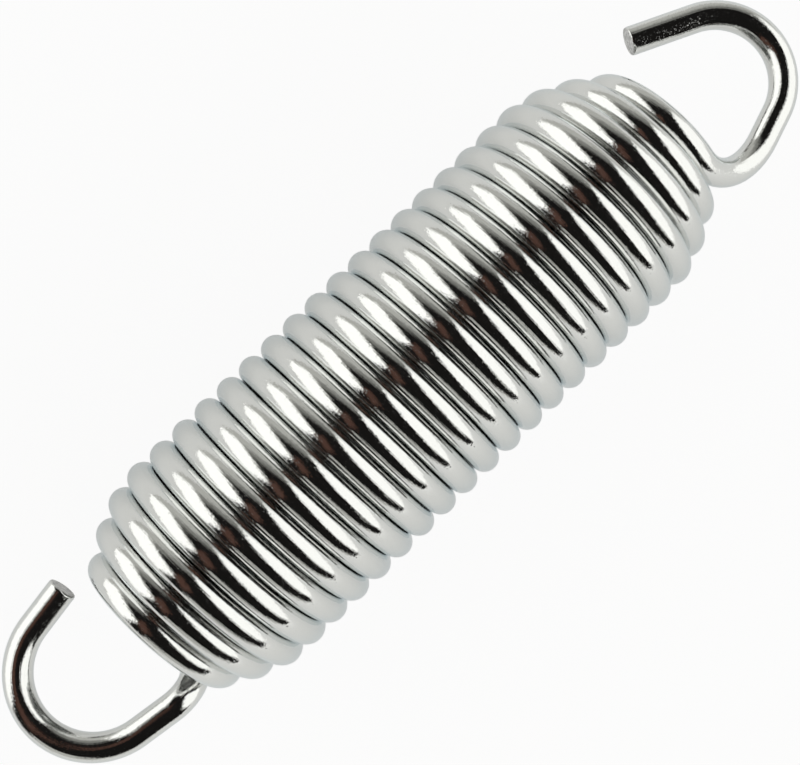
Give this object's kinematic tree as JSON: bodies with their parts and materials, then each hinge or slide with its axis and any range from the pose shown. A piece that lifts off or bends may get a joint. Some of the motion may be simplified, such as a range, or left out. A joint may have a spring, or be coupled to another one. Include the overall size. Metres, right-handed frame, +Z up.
{
  "type": "extension spring",
  "caption": "Close-wound round-wire extension spring with tapered ends and an open side hook at each end, for pulling two parts together.",
  "frame": {"origin": "middle of the part's footprint on the surface it lies on, under the coil's axis", "axes": "+X along the coil's axis from the left hook to the right hook, +Y from the hooks' roots towards their cut ends, +Z up, square to the plane of both hooks"},
  "size_m": [0.1038, 0.025, 0.025],
  "materials": {
    "zinc_plated_wire": "bright zinc plated, polished"
  },
  "bodies": {
    "root": {"spring_wire": "zinc_plated_wire"}
  },
  "joints": []
}
